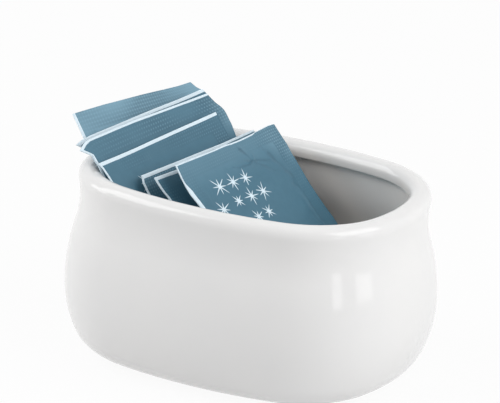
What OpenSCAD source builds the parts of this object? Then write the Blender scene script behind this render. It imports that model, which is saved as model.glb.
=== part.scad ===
/* [Rim] */
// Length over the rim's bead
rim_l = 96; // [95:0.5:104]
// Width over the rim's bead
rim_w = 74; // [74:0.5:80]
// Radius of the plan's two end arcs
end_r = 55.5; // [52:0.5:60]
// Radius of the plan's two side arcs
side_r = 120.5; // [112:0.5:130]
// Radius of the plan's four corner arcs
corner_r = 29; // [27:0.5:31]
// Thickness of the rolled rim bead, from outside to inside
rim_t = 6.2; // [5:0.1:6.2]
// Depth of the rim's inner lip, from the crown to the ledge under it
lip_h = 4.2; // [3.6:0.1:5]

/* [Body] */
// Height from the table to the rim's crown
holder_h = 54; // [52:0.5:60]
// Thickness of the fired wall and floor
wall = 3.8; // [3:0.1:4.2]
// Height of the narrowest place of the neck
neck_h = 45.5; // [44:0.5:46]
// How far the neck draws in behind the rim's bead
neck_in = 0.5; // [0.4:0.05:0.7]
// Height of the widest place of the belly
belly_h = 22; // [20:0.5:24]
// How far the belly swells out past the rim's bead
belly_out = 3; // [2.5:0.1:3.6]
// Radius of the belly's lower curve, in section
belly_low_r = 34; // [32:0.5:38]
// Radius of the rounded base corner, in section
base_r = 12; // [11:0.25:13]

/* [Foot] */
// Height of the foot ring under the base
foot_h = 1; // [0.6:0.1:1.4]
// Width of the foot ring's dry face
foot_w = 3; // [2.4:0.1:3.6]
// How far the foot ring stands in from the rim's plan
foot_in = 13.5; // [13:0.25:14.5]

/* [Packet] */
// Width of a packet over its side seals
packet_w = 44.5; // [38:0.5:44.5]
// Length of a packet over its end seals
packet_l = 63.5; // [58:0.5:64]
// Greatest thickness of a filled packet
packet_t = 2.4; // [1.8:0.1:2.4]
// Thickness of one ply of the wrapper's paper
ply_t = 0.12; // [0.08:0.01:0.16]
// Width of the crimped seal along each edge
seal_w = 5; // [4:0.25:6]
// Space between the sugar and the paper over it
sugar_gap = 0.1; // [0.08:0.01:0.14]
// Space between the sugar and the seals round it
sugar_margin = 0.6; // [0.5:0.1:1]

/* [Row] */
// Lean of the row away from upright, in degrees
lean = 42.5; // [41.5:0.5:43.5]
// Turn of the row about the upright, in degrees
row_turn = 11.5; // [10.5:0.5:12.5]
// Free space between the thickest places of two packets side by side
packet_gap = 0.4; // [0.35:0.05:0.6]
// Distance of the first packet from the mouth's end, square to the row
row_start = 5.3; // [5:0.1:6]

/* [Hidden] */

// Each packet's place in the row, counted in pitches from the first packet
place_shares = [0, 1.07, 1.93, 2.86, 4.36, 5.79, 7.17];
// How deep each packet's lower edge stands, as shares of the slope from the mouth to the floor
depth_shares = [0.388, 0.482, 0.516, 0.615, 0.746, 0.79, 0.775];
// How far each packet sits off the row's middle line, as shares of its width
side_shares = [0.027, -0.09, -0.155, -0.189, -0.018, -0.049, 0.002];
// Turn of each packet about the row's slide line, in degrees
fan_turns = [6, 9.5, 9.5, 9.5, 9.5, 6, -2];
// Turn of each packet in its own plane, in degrees
face_turns = [-1.5, 2.5, 2.5, 2.5, 0.4, -0.5, 5];
// Straight stretches that stand for each arc of the section
base_cells = 6;
low_cells = 3;
up_cells = 4;
neck_cells = 4;
bead_cells = 14;
// Straight stretches that stand for each arc of the plan: half an end, a corner, half a side
end_cells = 2;
corner_cells = 7;
side_cells = 3;
// Cells of the filled pocket's grid, across and along the packet
pocket_cells = [8, 10];
// Exponents that shape the pillow of sugar: how full it is, and how far it has settled
pillow_share = 0.75;
settle_share = 1.35;

half_l = rim_l / 2;
half_w = rim_w / 2;

// Plan: eight arcs that meet without a kink. The end arcs and the side arcs have their centres on
// the axes, and each corner arc's centre lies where it touches both.
end_c = [half_l - end_r, 0];
side_c = [0, half_w - side_r];
centre_span = norm(side_c - end_c);
end_reach = end_r - corner_r;
side_reach = side_r - corner_r;
along = (end_reach * end_reach - side_reach * side_reach + centre_span * centre_span) / (2 * centre_span);
across = sqrt(end_reach * end_reach - along * along);
span_dir = (side_c - end_c) / centre_span;
corner_c = end_c + along * span_dir + across * [-span_dir.y, span_dir.x];
end_angle = atan2(corner_c.y - end_c.y, corner_c.x - end_c.x);
side_angle = atan2(corner_c.y - side_c.y, corner_c.x - side_c.x);

// Section: every point is an offset from the rim's plan, outwards, and a height. The rim is half a
// circle, the neck one hollow arc, the belly two arcs and the base one, each tangent to the next.
bead_r = rim_t / 2;
bead_c = [-bead_r, holder_h - bead_r];
bead_drop = bead_c.y - neck_h;
bead_run = bead_r - neck_in;
neck_r = (bead_run * bead_run + bead_drop * bead_drop - bead_r * bead_r) / (2 * neck_in);
neck_c = [neck_r - neck_in, neck_h];
swell = neck_in + belly_out;
belly_rise = neck_h - belly_h;
belly_up_r = (belly_rise * belly_rise + swell * swell) / (2 * swell) - neck_r;
belly_up_c = [belly_out - belly_up_r, belly_h];
belly_low_c = [belly_out - belly_low_r, belly_h];
base_y = foot_h + base_r;
base_run = sqrt(pow(belly_low_r - base_r, 2) - pow(belly_h - base_y, 2));
base_c = [belly_low_c.x + base_run, base_y];
neck_angle = atan2(neck_c.y - belly_up_c.y, neck_c.x - belly_up_c.x);
base_angle = atan2(belly_h - base_y, base_run);
rim_angle = atan2(bead_c.y - neck_c.y, neck_c.x - bead_c.x);
ledge_y = holder_h - lip_h;
ledge_angle = asin((ledge_y - neck_h) / (neck_r + wall));
foot_end = foot_in + foot_w;
floor_top = foot_h + wall;
// Points along an arc after its first one, which is the last of the arc before it
function arc_points(c, r, from, to, cells) =
    [for (i = [1:cells]) let (a = from + (to - from) * i / cells) c + r * [cos(a), sin(a)]];

function outer_points() = concat(
    [base_c - [0, base_r]],
    arc_points(base_c, base_r, -90, -base_angle, base_cells),
    arc_points(belly_low_c, belly_low_r, -base_angle, 0, low_cells),
    arc_points(belly_up_c, belly_up_r, 0, neck_angle, up_cells),
    arc_points(neck_c, neck_r, 180 + neck_angle, 180 - rim_angle, neck_cells),
    arc_points(bead_c, bead_r, -rim_angle, 180, bead_cells)
);

function inner_points() = concat(
    [neck_c + (neck_r + wall) * [-cos(ledge_angle), sin(ledge_angle)]],
    arc_points(neck_c, neck_r + wall, 180 - ledge_angle, 180 + neck_angle, neck_cells),
    arc_points(belly_up_c, belly_up_r - wall, neck_angle, 0, up_cells),
    arc_points(belly_low_c, belly_low_r - wall, 0, -base_angle, low_cells),
    arc_points(base_c, base_r - wall, -base_angle, -90, base_cells)
);

function foot_points() = [
    [-foot_end, foot_h],
    [-foot_end, 0],
    [-foot_in, 0],
    [-foot_in, foot_h]
];

// The section runs from the underside inside the foot ring, over the rim, to the edge of the floor
section = concat(foot_points(), outer_points(), [[-rim_t, ledge_y]], inner_points());

// Directions of the plan's stations over one quarter, then mirrored round the whole turn
quarter_angles = concat(
    [for (i = [0:end_cells - 1]) end_angle * i / end_cells],
    [for (i = [0:corner_cells - 1]) end_angle + (side_angle - end_angle) * i / corner_cells],
    [for (i = [0:side_cells]) side_angle + (90 - side_angle) * i / side_cells]
);
last = len(quarter_angles) - 1;
plan_angles = concat(
    quarter_angles,
    [for (i = [last - 1:-1:0]) 180 - quarter_angles[i]],
    [for (i = [1:last]) 180 + quarter_angles[i]],
    [for (i = [last - 1:-1:1]) 360 - quarter_angles[i]]
);

// Centre and radius of the plan's arc that faces a direction of the first quarter
function arc_at(angle) =
    angle < end_angle ? [end_c, end_r] : angle < side_angle ? [corner_c, corner_r] : [side_c, side_r];

// Point of the plan that faces a direction, moved outwards by an offset
function plan_point(angle, offset) =
    let (
        dir = [cos(angle), sin(angle)],
        arc = arc_at(atan2(abs(dir.y), abs(dir.x))),
        reach = arc[1] + offset
    )
    [sign(dir.x) * arc[0].x + reach * dir.x, sign(dir.y) * arc[0].y + reach * dir.y];

// Row: the slide frame has X across the packets, Y up along their lean and Z square to them
mouth_end = half_l - rim_t;
row_first = row_start - mouth_end * cos(lean) * cos(row_turn);
packet_pitch = packet_t + packet_gap;
slope_l = (holder_h - floor_top) / cos(lean);
pocket_w = packet_w - 2 * seal_w;
pocket_l = packet_l - 2 * seal_w;
bulge = packet_t / 2 - ply_t;

// Height of the pocket's skin over the packet's middle plane: the sugar has settled to the lower end
function pillow(x, y) = pow(max(1 - x * x, 0), pillow_share) * pow(max(sin(180 * pow(y, settle_share)), 0), pillow_share);

// Grid lines of the pocket: from -1 to 1 across, and from 0 at the top to 1 at the bottom
pocket_xs = [for (i = [0:pocket_cells.x]) -cos(180 * i / pocket_cells.x)];
pocket_ys = [for (i = [0:pocket_cells.y]) (1 - cos(180 * i / pocket_cells.y)) / 2];

function pocket_point(x, y, skin, margin) =
    [x * (pocket_w / 2 - margin), -seal_w - margin - y * (pocket_l - 2 * margin), skin];

function grid_faces(rows, cols, first, flip) = [
    for (j = [0:rows - 2], i = [0:cols - 2])
        let (a = first + j * cols + i, b = a + 1, c = a + cols, d = c + 1)
        each flip ? [[a, b, c], [b, d, c]] : [[a, c, b], [b, c, d]]
];

function rim_loop(rows, cols) = concat(
    [for (i = [0:cols - 2]) i],
    [for (j = [0:rows - 2]) j * cols + cols - 1],
    [for (i = [cols - 1:-1:1]) (rows - 1) * cols + i],
    [for (j = [rows - 1:-1:1]) j * cols]
);

// Closed skin of two grids, front and back, joined round their edge by a band of paper
module two_skins(front, back, rows, cols) {
    loop = rim_loop(rows, cols);
    count = rows * cols;
    band = [
        for (k = [0:len(loop) - 1])
            let (a = loop[k], b = loop[(k + 1) % len(loop)])
            each [[a, b, b + count], [a, b + count, a + count]]
    ];
    polyhedron(
        points = concat(front, back),
        faces = concat(
            grid_faces(rows, cols, 0, true),
            grid_faces(rows, cols, count, false),
            [for (f = band) [f[2], f[1], f[0]]]
        )
    );
}

// Outer skin of a packet: flat seals round a filled pillow
module packet_skin() {
    xs = concat([-packet_w / 2], [for (x = pocket_xs) x * pocket_w / 2], [packet_w / 2]);
    ys = concat([0], [for (y = pocket_ys) -seal_w - y * pocket_l], [-packet_l]);
    cols = len(xs);
    rows = len(ys);
    heights = [
        for (j = [0:rows - 1], i = [0:cols - 1])
            let (inside = i > 0 && i < cols - 1 && j > 0 && j < rows - 1)
            ply_t + (inside ? bulge * pillow(pocket_xs[i - 1], pocket_ys[j - 1]) : 0)
    ];
    spots = [for (j = [0:rows - 1], i = [0:cols - 1]) [xs[i], ys[j]]];
    front = [for (k = [0:len(spots) - 1]) [spots[k].x, spots[k].y, heights[k]]];
    back = [for (k = [0:len(spots) - 1]) [spots[k].x, spots[k].y, -heights[k]]];
    two_skins(front, back, rows, cols);
}

// The pocket inside a packet, or the sugar in it when a gap and a margin draw it in
module pocket(gap, margin) {
    cols = len(pocket_xs);
    rows = len(pocket_ys);
    crown = bulge - gap;
    edge = ply_t / 4;
    front = [for (y = pocket_ys, x = pocket_xs) pocket_point(x, y, edge + crown * pillow(x, y), margin)];
    back = [for (y = pocket_ys, x = pocket_xs) pocket_point(x, y, -edge - crown * pillow(x, y), margin)];
    two_skins(front, back, rows, cols);
}

// Sets a packet in its place in the row, by its number from the rear
module in_row(number) {
    k = number - 1;
    translate([0, 0, holder_h])
        rotate([90 - lean, 0, 90 - row_turn])
            translate([
                side_shares[k] * packet_w,
                packet_l - depth_shares[k] * slope_l,
                row_first + place_shares[k] * packet_pitch
            ])
                rotate([0, -fan_turns[k], 0])
                    rotate([0, 0, face_turns[k]])
                        children();
}

// The section carried round the plan, closed by the underside and the floor
module holder() {
    turns = len(plan_angles);
    levels = len(section);
    points = concat(
        [for (spot = section, angle = plan_angles) concat(plan_point(angle, spot.x), spot.y)],
        [[0, 0, foot_h], [0, 0, floor_top]]
    );
    under = levels * turns;
    above = under + 1;
    skin = [
        for (j = [0:levels - 2], i = [0:turns - 1])
            let (a = j * turns + i, b = j * turns + (i + 1) % turns, c = a + turns, d = b + turns)
            each [[a, c, b], [b, c, d]]
    ];
    underside = [for (i = [0:turns - 1]) [i, (i + 1) % turns, under]];
    floor_edge = (levels - 1) * turns;
    floor = [for (i = [0:turns - 1]) [floor_edge + (i + 1) % turns, floor_edge + i, above]];
    color("white")
        polyhedron(points = points, faces = concat(skin, underside, floor));
}

module packet_wrapper(number) {
    color([0.35, 0.5, 0.58])
        in_row(number)
            difference() {
                packet_skin();
                pocket(0, 0);
            }
}

module packet_sugar(number) {
    color("ivory")
        in_row(number)
            pocket(sugar_gap, sugar_margin);
}

holder();
packet_wrapper(1);  // packet_1_wrapper
packet_wrapper(2);  // packet_2_wrapper
packet_wrapper(3);  // packet_3_wrapper
packet_wrapper(4);  // packet_4_wrapper
packet_wrapper(5);  // packet_5_wrapper
packet_wrapper(6);  // packet_6_wrapper
packet_wrapper(7);  // packet_7_wrapper
packet_sugar(1);  // packet_1_sugar
packet_sugar(2);  // packet_2_sugar
packet_sugar(3);  // packet_3_sugar
packet_sugar(4);  // packet_4_sugar
packet_sugar(5);  // packet_5_sugar
packet_sugar(6);  // packet_6_sugar
packet_sugar(7);  // packet_7_sugar
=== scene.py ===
"""Sugar packet holder: an oval porcelain caddy with a row of printed paper packets leaning in it.

Every length in the classes is in millimetres and turns to metres where a mesh is made.
"""

import logging
from dataclasses import dataclass, field
from enum import Enum

import bpy
import numpy as np
from mathutils import Matrix


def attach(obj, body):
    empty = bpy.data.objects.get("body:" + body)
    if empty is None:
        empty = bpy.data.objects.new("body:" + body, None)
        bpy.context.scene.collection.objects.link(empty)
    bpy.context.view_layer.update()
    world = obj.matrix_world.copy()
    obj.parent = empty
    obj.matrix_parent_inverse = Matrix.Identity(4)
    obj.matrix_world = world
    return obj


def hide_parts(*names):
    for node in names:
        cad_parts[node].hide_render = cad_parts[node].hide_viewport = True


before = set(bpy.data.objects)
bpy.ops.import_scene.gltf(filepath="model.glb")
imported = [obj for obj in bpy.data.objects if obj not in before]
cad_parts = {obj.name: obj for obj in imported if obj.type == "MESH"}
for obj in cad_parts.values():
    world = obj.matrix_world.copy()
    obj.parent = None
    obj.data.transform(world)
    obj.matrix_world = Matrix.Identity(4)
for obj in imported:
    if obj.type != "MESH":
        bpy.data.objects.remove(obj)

MM = 0.001
PHOTO_SIZE = (500, 403)
RIPPLE_WAVES = 14
log = logging.getLogger("sugar_packet_holder")


class Side(Enum):
    """Which face of a packet a skin stands for; the value is the direction that it bulges in."""

    FRONT = 1
    BACK = -1


def linear(colour: str) -> tuple[float, float, float, float]:
    """Turns an sRGB hex colour into linear light.

    Args:
        colour: six hex digits after a hash, such as "#F4F4F2".

    Returns:
        Red, green and blue in linear light, and an alpha of 1.
    """
    levels = np.array([int(colour[i:i + 2], 16) for i in (1, 3, 5)]) / 255
    bright = ((levels + 0.055) / 1.055) ** 2.4
    red, green, blue = np.where(levels <= 0.04045, levels / 12.92, bright)
    return float(red), float(green), float(blue), 1.0


def fill(node: bpy.types.Node, inputs: dict[str | int, object]) -> None:
    """Links or sets a node's inputs.

    Args:
        node: the node.
        inputs: what an input gets, by its name or its place: an output socket, a constant, or a node,
            which stands for its first output.
    """
    for place, value in inputs.items():
        source = value.outputs[0] if isinstance(value, bpy.types.Node) else value
        if isinstance(source, bpy.types.NodeSocket):
            node.id_data.links.new(source, node.inputs[place])
        else:
            node.inputs[place].default_value = source


def add_node(tree: bpy.types.NodeTree, kind: str, *values: object, **named: object) -> bpy.types.Node:
    """Adds a node, sets its settings and fills its inputs.

    Args:
        tree: the material's or the world's node tree.
        kind: the node's type name, without the ShaderNode in front.
        *values: what each of the first inputs gets, in order.
        **named: a setting of the node, or what an input gets, by the input's name with underscores for
            spaces or by in6 and so on for its place.

    Returns:
        The new node.
    """
    node = tree.nodes.new("ShaderNode" + kind)
    inputs = dict(enumerate(values))
    for name, value in named.items():
        if hasattr(node, name):
            setattr(node, name, value)
        elif name[:2] == "in" and name[2:].isdigit():
            inputs[int(name[2:])] = value
        else:
            inputs[name.replace("_", " ")] = value
    fill(node, inputs)
    return node


def smooth_step(values: np.ndarray, low: float, high: float) -> np.ndarray:
    """Rises from 0 at low to 1 at high along 3t^2 - 2t^3."""
    t = np.clip((values - low) / (high - low), 0, 1)
    return t * t * (3 - 2 * t)


def ripples(x: np.ndarray, y: np.ndarray, shortest: float, longest: float, seed: int) -> np.ndarray:
    """Uneven low waves: the sum of plane waves of random direction, length and phase.

    Args:
        x: places across, in millimetres.
        y: places along, in millimetres.
        shortest: shortest wave.
        longest: longest wave.
        seed: seed of the random draws.

    Returns:
        Heights of about -1 to 1, in the shape of x.
    """
    draw = np.random.default_rng(seed)
    shape = (RIPPLE_WAVES,) + (1,) * x.ndim
    turn = draw.uniform(0, 2 * np.pi, RIPPLE_WAVES).reshape(shape)
    length = draw.uniform(shortest, longest, RIPPLE_WAVES).reshape(shape)
    phase = draw.uniform(0, 2 * np.pi, RIPPLE_WAVES).reshape(shape)
    waves = np.sin(2 * np.pi * (x * np.cos(turn) + y * np.sin(turn)) / length + phase)
    return waves.sum(axis=0) / np.sqrt(RIPPLE_WAVES)


def grid_quads(rows: int, cols: int, wrap: bool = False) -> np.ndarray:
    """Faces of a grid of points held row by row.

    Args:
        rows: number of rows.
        cols: number of points in a row.
        wrap: whether each row closes on itself.

    Returns:
        An array of four point numbers for each face.
    """
    row = np.arange(rows - 1)[:, None] * cols
    col = np.arange(cols if wrap else cols - 1)[None, :]
    right = (col + 1) % cols
    corners = np.stack([row + col, row + right, row + cols + right, row + cols + col], axis=-1)
    return corners.reshape(-1, 4)


def put_mesh(name: str, points: np.ndarray, quads: np.ndarray, triangles: np.ndarray) -> bpy.types.Object:
    """Makes a smooth-shaded object at the origin from points in millimetres.

    Args:
        name: the object's name.
        points: an array of places.
        quads: point numbers of the four-sided faces.
        triangles: point numbers of the three-sided faces.

    Returns:
        The new object, linked to the scene.
    """
    mesh = bpy.data.meshes.new(name)
    mesh.vertices.add(len(points))
    mesh.vertices.foreach_set("co", (points * MM).astype(np.float32).ravel())
    corners = np.concatenate([quads.ravel(), triangles.ravel()]).astype(np.int32)
    totals = np.concatenate([np.full(len(quads), 4), np.full(len(triangles), 3)]).astype(np.int32)
    starts = np.concatenate([[0], np.cumsum(totals)[:-1]]).astype(np.int32)
    mesh.loops.add(len(corners))
    mesh.loops.foreach_set("vertex_index", corners)
    mesh.polygons.add(len(totals))
    mesh.polygons.foreach_set("loop_start", starts)
    mesh.polygons.foreach_set("loop_total", totals)
    mesh.polygons.foreach_set("use_smooth", np.ones(len(totals), bool))
    mesh.update(calc_edges=True)
    mesh.validate()
    made = bpy.data.objects.new(name, mesh)
    bpy.context.scene.collection.objects.link(made)
    return made


def put_at(made: bpy.types.Object, axes: np.ndarray, spot: np.ndarray) -> None:
    """Links a camera or a lamp to the scene, where it looks back along its third axis.

    Args:
        made: the camera's or lamp's object.
        axes: its axes, as the columns of a 3 by 3 array.
        spot: its place, in millimetres.
    """
    placed = np.eye(4)
    placed[:3, :3] = axes
    placed[:3, 3] = spot * MM
    made.matrix_world = Matrix(placed.tolist())
    bpy.context.scene.collection.objects.link(made)


def outward(azimuth: float, elevation: float) -> np.ndarray:
    """Direction from the holder to an azimuth, counted from its front, and an elevation, in degrees."""
    turn, rise = np.radians([azimuth, elevation])
    return np.array([np.sin(turn) * np.cos(rise), -np.cos(turn) * np.cos(rise), np.sin(rise)])


def store(made: bpy.types.Object, name: str, kind: str, key: str, values: np.ndarray) -> None:
    """Puts an attribute on an object's points."""
    made.data.attributes.new(name, kind, "POINT").data.foreach_set(key, values.astype(np.float32).ravel())


def new_material(name: str) -> tuple[bpy.types.Material, bpy.types.NodeTree, bpy.types.Node]:
    """Starts a material.

    Args:
        name: the material's name.

    Returns:
        The material, its node tree and its Principled shader.
    """
    material = bpy.data.materials.new(name)
    material.use_nodes = True
    tree = material.node_tree
    return material, tree, tree.nodes["Principled BSDF"]


@dataclass(frozen=True)
class GlazedPorcelain:
    """White hard-paste porcelain, slip cast and dipped in clear glaze.

    The glaze gives sharp, slightly wavering reflections over a soft white body, and the inside is painted
    a little darker and warmer, as painted shade. The foot ring is wiped dry before the firing, so it shows
    matt biscuit.
    """

    body: str = "#F0EFEE"
    shade_body: str = "#EAEAEA"
    # inner_shade_tint is painted shade: the inside is tinted darker and warmer than the body.
    inner_shade_tint: str = "#EEEAE6"
    biscuit: str = "#E4DED2"
    ior: float = 1.5
    gloss: float = 0.1
    dull: float = 0.75
    cloud_size: float = 26.0
    peel_size: float = 3.5
    peel_depth: float = 0.02
    peel_share: float = 0.05
    grit_size: float = 0.25
    grit_depth: float = 0.06
    grit_share: float = 0.8
    dry_height: float = 0.45

    def make(self) -> bpy.types.Material:
        """Builds the node material: clouds in the body's tone, the glaze's fine peel, and the foot's grit.

        Each tone covers the ones before it by its own share.

        Returns:
            The material.
        """
        material, tree, shader = new_material("glazed_porcelain")
        place = add_node(tree, "TexCoord").outputs["Object"]
        height = add_node(tree, "SeparateXYZ", place).outputs["Z"]
        dry = add_node(tree, "MapRange", Value=height, From_Min=self.dry_height * MM, From_Max=0.0)
        cloud = add_node(tree, "TexNoise", Vector=place, Scale=1 / (self.cloud_size * MM), Detail=3.0)
        inside = add_node(tree, "Attribute", attribute_name="inside").outputs["Fac"]
        colour = linear(self.body)
        # The inside's tint is painted shade; the clouds and the dry foot are the body's own tone.
        for share, tone in ((cloud, self.shade_body), (inside, self.inner_shade_tint), (dry, self.biscuit)):
            colour = add_node(tree, "Mix", data_type="RGBA", Factor=share,
                              in6=colour, in7=linear(tone)).outputs[2]
        rough = add_node(tree, "MapRange", Value=dry, To_Min=self.gloss, To_Max=self.dull)
        peel = add_node(tree, "TexNoise", Vector=place, Scale=1 / (self.peel_size * MM), Detail=1.0)
        grit = add_node(tree, "TexNoise", Vector=place, Scale=1 / (self.grit_size * MM), Detail=2.0)
        grain = add_node(tree, "Math", grit, dry, operation="MULTIPLY")
        glaze = add_node(tree, "Bump", Height=peel, Strength=self.peel_share,
                         Distance=self.peel_depth * MM)
        bump = add_node(tree, "Bump", Height=grain, Strength=self.grit_share,
                        Distance=self.grit_depth * MM, Normal=glaze)
        fill(shader, {"Base Color": colour, "Normal": bump, "Roughness": rough, "IOR": self.ior})
        return material


@dataclass(frozen=True)
class StarField:
    """A half-drop repeat of plain eight-ray stars, printed where its cells' centres lie inside an oval.

    The longest ray is reach long, the smallest star has that times smallest, and ray is half a ray's
    width at its root. The ink fades in over fuzz, from just outside a ray's edge to just inside it.
    """

    cell: float = 6.0
    reach: float = 3.7
    ray: float = 0.17
    smallest: float = 0.62
    short_share: float = 0.14
    jump_share: float = 0.3
    fuzz: tuple[float, float] = (-0.03, 0.05)
    middle: tuple[float, float] = (-6.0, -19.0)
    spread: tuple[float, float] = (11.9, 11.5)
    seed: float = 3.0

    def mask(self, tree: bpy.types.NodeTree, x: bpy.types.NodeSocket,
             y: bpy.types.NodeSocket) -> bpy.types.NodeSocket:
        """Draws the stars, each in its own square cell, where odd rows of cells stand half a cell aside.

        Each cell moves, turns and scales its star at random.

        Args:
            tree: the material's node tree.
            x: places across the packet, in millimetres.
            y: places along it.

        Returns:
            1 in the ink of a star and 0 elsewhere.
        """
        half = (0.5, 0.5, 0.0)
        flat = add_node(tree, "CombineXYZ", x, y)
        moved = add_node(tree, "VectorMath", flat, (*self.middle, 0.0), operation="SUBTRACT")
        grid = add_node(tree, "VectorMath", moved, (self.cell,) * 3, operation="DIVIDE")
        v = add_node(tree, "SeparateXYZ", grid).outputs["Y"]
        row = add_node(tree, "Math", v, operation="FLOOR")
        odd = add_node(tree, "Math", row, 2.0, operation="FLOORED_MODULO")
        aside = add_node(tree, "VectorMath", odd, (0.5, 0.0, 0.0), operation="MULTIPLY")
        place = add_node(tree, "VectorMath", grid, aside, operation="ADD")
        cell = add_node(tree, "VectorMath", place, operation="FLOOR")
        key = add_node(tree, "VectorMath", cell, (0.0, 0.0, self.seed), operation="ADD")
        draw = add_node(tree, "TexWhiteNoise", key, noise_dimensions="3D")
        within = add_node(tree, "VectorMath", place, operation="FRACTION")
        off = add_node(tree, "VectorMath", within, half, operation="SUBTRACT")
        chance = add_node(tree, "VectorMath", draw.outputs["Color"], half, operation="SUBTRACT")
        reach = (self.jump_share, self.jump_share, 0.0)
        jump = add_node(tree, "VectorMath", chance, reach, operation="MULTIPLY")
        centred = add_node(tree, "VectorMath", off, jump, operation="SUBTRACT")
        away = add_node(tree, "VectorMath", centred, (self.cell,) * 3, operation="MULTIPLY")
        star = self.star(tree, away, draw)
        corner = add_node(tree, "VectorMath", cell, aside, operation="SUBTRACT")
        centre = add_node(tree, "VectorMath", corner, half, operation="ADD")
        oval = (self.spread[0] / self.cell, self.spread[1] / self.cell, 1.0)
        share = add_node(tree, "VectorMath", centre, oval, operation="DIVIDE")
        from_middle = add_node(tree, "VectorMath", share, operation="LENGTH").outputs["Value"]
        printed = add_node(tree, "Math", from_middle, 1.0, operation="LESS_THAN")
        return add_node(tree, "Math", star, printed, operation="MULTIPLY").outputs[0]

    def star(self, tree: bpy.types.NodeTree, away: bpy.types.Node,
             draw: bpy.types.Node) -> bpy.types.NodeSocket:
        """Draws one star.

        A point at radius r and angle a from the star's centre lies about r |sin 4a| / 4 from the nearest
        ray, whose half width falls as 1 - (r / tip)^3 to 0 at its tip, and every other ray is shorter.

        Args:
            tree: the material's node tree.
            away: the node with the places from the star's centre.
            draw: the node with the cell's random value and colour, for the star's turn and size.

        Returns:
            1 inside the star and 0 outside, with a soft edge.
        """
        radius = add_node(tree, "VectorMath", away, operation="LENGTH").outputs["Value"]
        dx, dy, _ = add_node(tree, "SeparateXYZ", away).outputs
        bearing = add_node(tree, "Math", dy, dx, operation="ARCTAN2")
        turned = add_node(tree, "Math", draw.outputs["Value"], np.pi, bearing, operation="MULTIPLY_ADD")
        fourfold = add_node(tree, "Math", turned, 4.0, operation="MULTIPLY")
        wave = add_node(tree, "Math", fourfold, operation="SINE")
        rise = add_node(tree, "Math", wave, operation="ABSOLUTE")
        off_ray = add_node(tree, "Math", radius, rise, operation="MULTIPLY")
        chance = add_node(tree, "SeparateColor", draw.outputs["Color"]).outputs["Blue"]
        size = add_node(tree, "MapRange", Value=chance, To_Min=self.smallest * self.reach, To_Max=self.reach)
        swing = add_node(tree, "Math", fourfold, operation="COSINE")
        full_share = 1 - self.short_share
        share = add_node(tree, "Math", swing, self.short_share, full_share, operation="MULTIPLY_ADD")
        tip = add_node(tree, "Math", size, share, operation="MULTIPLY")
        way_out = add_node(tree, "Math", radius, tip, operation="DIVIDE")
        cubed = add_node(tree, "Math", way_out, 3.0, operation="POWER")
        half_width = add_node(tree, "Math", cubed, -self.ray, self.ray, operation="MULTIPLY_ADD")
        inside = add_node(tree, "Math", off_ray, -0.25, half_width, operation="MULTIPLY_ADD")
        out, full = self.fuzz
        return add_node(tree, "MapRange", Value=inside, From_Min=out, From_Max=full).outputs[0]


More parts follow.
